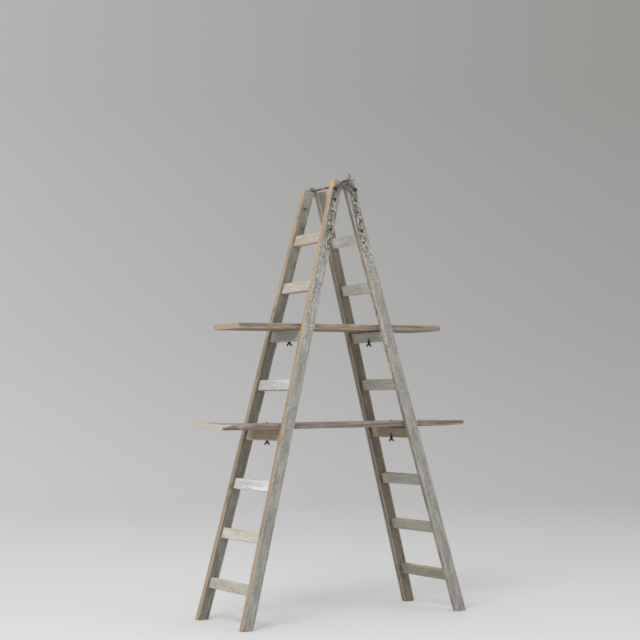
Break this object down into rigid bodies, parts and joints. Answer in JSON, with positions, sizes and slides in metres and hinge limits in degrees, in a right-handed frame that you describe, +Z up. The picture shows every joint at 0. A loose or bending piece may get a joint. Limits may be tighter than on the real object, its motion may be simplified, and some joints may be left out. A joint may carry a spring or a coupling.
{
  "type": "folding double ladder with shelf boards",
  "caption": "Weathered wooden A-frame painter's ladder folding on a looped iron hinge rod, with shelf boards laid across its rungs and held by wing nuts.",
  "frame": {"origin": "on the floor under the middle of the open ladder", "axes": "+X the way the legs spread, from the left frame to the right; +Y along the hinge rod, away from its loop; +Z up"},
  "size_m": [1.561, 0.5564, 2.4484],
  "materials": {
    "painted_stile": "weathered grey-green paint, worn to bare wood along the edges",
    "pale_rung": "weathered cream paint",
    "grey_rung": "weathered grey paint, worn brown on top",
    "reclaimed_board": "unfinished reclaimed softwood, greyed and lightly whitewashed",
    "painted_strap": "strap iron, painted over and speckled with rust",
    "rusty_iron": "rusted iron",
    "black_steel": "black-coated steel"
  },
  "bodies": {
    "left_frame": {"left_far_stile": "painted_stile", "left_far_strap": "painted_strap", "left_far_strap_bolt_lower": "rusty_iron", "left_far_strap_bolt_upper": "rusty_iron", "left_far_strap_nut_lower": "rusty_iron", "left_far_strap_nut_upper": "rusty_iron", "left_near_coach_screw": "rusty_iron", "left_near_stile": "painted_stile", "left_near_strap": "painted_strap", "left_near_strap_bolt_lower": "rusty_iron", "left_near_strap_bolt_upper": "rusty_iron", "left_near_strap_nut_lower": "rusty_iron", "left_near_strap_nut_upper": "rusty_iron", "left_rung_1": "pale_rung", "left_rung_2": "pale_rung", "left_rung_3": "pale_rung", "left_rung_4": "pale_rung", "left_rung_5": "pale_rung", "left_rung_6": "pale_rung", "left_rung_7": "pale_rung", "left_rung_8": "pale_rung", "lower_left_shelf_bolt": "black_steel", "lower_left_washer": "black_steel", "lower_right_shelf_bolt_head": "black_steel", "lower_shelf_board": "reclaimed_board", "upper_left_shelf_bolt": "black_steel", "upper_left_washer": "black_steel", "upper_right_shelf_bolt_head": "black_steel", "upper_shelf_board": "reclaimed_board"},
    "right_frame": {"lower_right_shelf_bolt_shank": "black_steel", "lower_right_washer": "black_steel", "right_far_stile": "painted_stile", "right_far_strap": "painted_strap", "right_far_strap_bolt_lower": "rusty_iron", "right_far_strap_bolt_upper": "rusty_iron", "right_far_strap_nut_lower": "rusty_iron", "right_far_strap_nut_upper": "rusty_iron", "right_near_coach_screw": "rusty_iron", "right_near_stile": "painted_stile", "right_near_strap": "painted_strap", "right_near_strap_bolt_lower": "rusty_iron", "right_near_strap_bolt_upper": "rusty_iron", "right_near_strap_nut_lower": "rusty_iron", "right_near_strap_nut_upper": "rusty_iron", "right_rung_1": "grey_rung", "right_rung_2": "grey_rung", "right_rung_3": "grey_rung", "right_rung_4": "grey_rung", "right_rung_5": "grey_rung", "right_rung_6": "grey_rung", "right_rung_7": "grey_rung", "right_rung_8": "grey_rung", "upper_right_shelf_bolt_shank": "black_steel", "upper_right_washer": "black_steel"},
    "hinge_rod": {"hinge_rod": "rusty_iron"},
    "upper_left_wing_nut": {"upper_left_wing_nut": "black_steel"},
    "upper_right_wing_nut": {"upper_right_wing_nut": "black_steel"},
    "lower_left_wing_nut": {"lower_left_wing_nut": "black_steel"},
    "lower_right_wing_nut": {"lower_right_wing_nut": "black_steel"}
  },
  "joints": [
    {"name": "fold", "type": "hinge", "parent": "left_frame", "child": "right_frame", "pos_m": [0, 0, 2.39], "axis": [0, 1, 0], "range_deg": [0, 30]},
    {"name": "rod_pull", "type": "slide", "parent": "left_frame", "child": "hinge_rod", "axis": [0, -1, 0], "range_m": [0, 0.45]},
    {"name": "upper_left_wing_nut_turn", "type": "hinge", "parent": "left_frame", "child": "upper_left_wing_nut", "pos_m": [-0.25992, 0, 1.50916], "axis": [0, 0, 1], "continuous": true},
    {"name": "upper_right_wing_nut_turn", "type": "hinge", "parent": "right_frame", "child": "upper_right_wing_nut", "pos_m": [0.25992, 0, 1.50916], "axis": [0, 0, 1], "continuous": true},
    {"name": "lower_left_wing_nut_turn", "type": "hinge", "parent": "left_frame", "child": "lower_left_wing_nut", "pos_m": [-0.40581, 0, 0.9685], "axis": [0, 0, 1], "continuous": true},
    {"name": "lower_right_wing_nut_turn", "type": "hinge", "parent": "right_frame", "child": "lower_right_wing_nut", "pos_m": [0.40581, 0, 0.9685], "axis": [0, 0, 1], "continuous": true}
  ]
}
